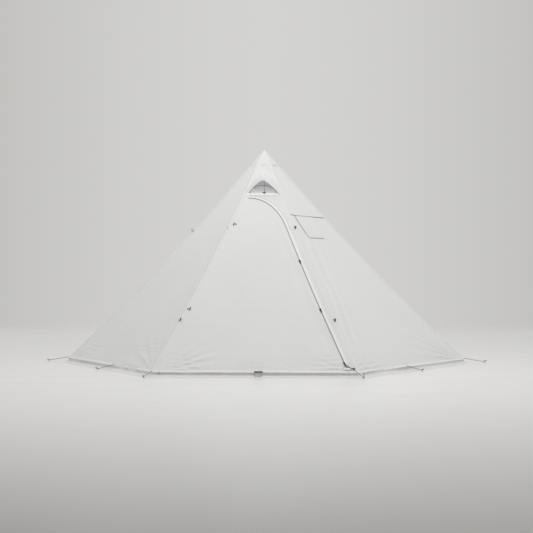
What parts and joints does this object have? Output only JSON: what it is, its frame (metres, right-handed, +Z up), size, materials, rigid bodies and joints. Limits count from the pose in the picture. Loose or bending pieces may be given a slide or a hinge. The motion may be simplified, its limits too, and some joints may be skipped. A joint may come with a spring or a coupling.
{
  "type": "tipi tent",
  "caption": "Hexagonal tipi tent on a centre pole, with an arched zip door, hooded vent, stove-jack flap, snow skirt, pegs and cords.",
  "frame": {"origin": "on the ground under the apex, at the centre of the hexagonal base", "axes": "+Z up, the front wall with the door faces -Y, +X to the right seen from the front"},
  "size_m": [4.444, 3.8044, 2.1354],
  "materials": {
    "white_cloth": "matte",
    "white_tape": "matte",
    "grey_zip": "satin",
    "black_plastic": "satin",
    "grey_mesh": "matte",
    "heat_cloth": "matte",
    "grey_cord": "matte",
    "steel": "satin",
    "aluminium": "satin"
  },
  "bodies": {
    "tent": {"front_wall": "white_cloth", "front_right_wall": "white_cloth", "back_right_wall": "white_cloth", "back_wall": "white_cloth", "back_left_wall": "white_cloth", "front_left_wall": "white_cloth", "wall_zip_tape": "grey_zip", "storm_flap": "white_tape", "door_buckle": "black_plastic", "right_ridge_tape": "white_tape", "front_right_ridge_tape": "white_tape", "front_left_ridge_tape": "white_tape", "left_ridge_tape": "white_tape", "back_left_ridge_tape": "white_tape", "back_right_ridge_tape": "white_tape", "hem_webbing": "white_tape", "front_left_skirt": "white_cloth", "front_right_skirt": "white_cloth", "back_right_skirt": "white_cloth", "back_skirt": "white_cloth", "back_left_skirt": "white_cloth", "apex_cap": "white_tape", "vent_mesh": "grey_mesh", "vent_hood": "white_cloth", "vent_prop_foot": "black_plastic", "stove_jack_patch": "heat_cloth", "right_peg": "steel", "front_right_peg": "steel", "front_left_peg": "steel", "left_peg": "steel", "back_left_peg": "steel", "back_right_peg": "steel", "right_cord": "grey_cord", "front_right_cord": "grey_cord", "front_left_cord": "grey_cord", "left_cord": "grey_cord", "back_left_cord": "grey_cord", "back_right_cord": "grey_cord", "front_right_edge_peg": "steel", "back_right_edge_peg": "steel", "back_edge_peg": "steel", "back_left_edge_peg": "steel", "front_left_edge_peg": "steel", "pole_foot": "black_plastic", "lower_pole": "aluminium"},
    "door": {"door_panel": "white_cloth", "door_zip_tape": "grey_zip", "door_hem_webbing": "white_tape", "door_skirt": "white_cloth", "door_strap": "white_tape"},
    "lower_slider": {"lower_zip_slider": "black_plastic"},
    "middle_slider": {"middle_zip_slider": "black_plastic"},
    "upper_slider": {"upper_zip_slider": "black_plastic"},
    "upper_toggle": {"upper_door_toggle": "black_plastic"},
    "lower_toggle": {"lower_door_toggle": "black_plastic"},
    "jack_flap": {"stove_jack_flap": "white_cloth"},
    "prop": {"vent_prop": "black_plastic"},
    "pole_top": {"upper_pole": "aluminium", "pole_tip": "black_plastic"},
    "lock": {"pole_lock": "black_plastic"}
  },
  "joints": [
    {"name": "door_swing", "type": "hinge", "parent": "tent", "child": "door", "pos_m": [-0.815, -1.70298, 0.03267], "axis": [-0.3108, -0.6067, -0.7317], "range_deg": [0, 100]},
    {"name": "lower_slider_slide", "type": "slide", "parent": "door", "child": "lower_slider", "axis": [-0.3294, 0.6292, 0.704], "range_m": [0, 0.19]},
    {"name": "middle_slider_slide", "type": "slide", "parent": "door", "child": "middle_slider", "axis": [-0.3197, 0.6107, 0.7244], "range_m": [0, 0.28]},
    {"name": "upper_slider_slide", "type": "slide", "parent": "door", "child": "upper_slider", "axis": [-0.3148, 0.6013, 0.7344], "range_m": [-0.22, 0.05]},
    {"name": "upper_toggle_turn", "type": "hinge", "parent": "tent", "child": "upper_toggle", "pos_m": [-0.26521, -0.58638, 1.36103], "axis": [0, -0.7915, 0.6112], "range_deg": [-90, 90]},
    {"name": "lower_toggle_turn", "type": "hinge", "parent": "tent", "child": "lower_toggle", "pos_m": [-0.61065, -1.23463, 0.56612], "axis": [0, -0.7646, 0.6445], "range_deg": [-90, 90]},
    {"name": "jack_flap_lift", "type": "hinge", "parent": "tent", "child": "jack_flap", "pos_m": [0.39672, -0.32472, 1.44708], "axis": [-0.5467, -0.8373, 0], "range_deg": [0, 150]},
    {"name": "prop_fold", "type": "hinge", "parent": "tent", "child": "prop", "pos_m": [0.015, -0.34813, 1.67992], "axis": [-1, 0, 0], "range_deg": [0, 45]},
    {"name": "pole_slide", "type": "slide", "parent": "tent", "child": "pole_top", "axis": [0, 0, -1], "range_m": [0, 0.8]},
    {"name": "lock_turn", "type": "hinge", "parent": "tent", "child": "lock", "pos_m": [0, 0, 1.12], "axis": [0, 0, 1], "range_deg": [0, 90]}
  ]
}
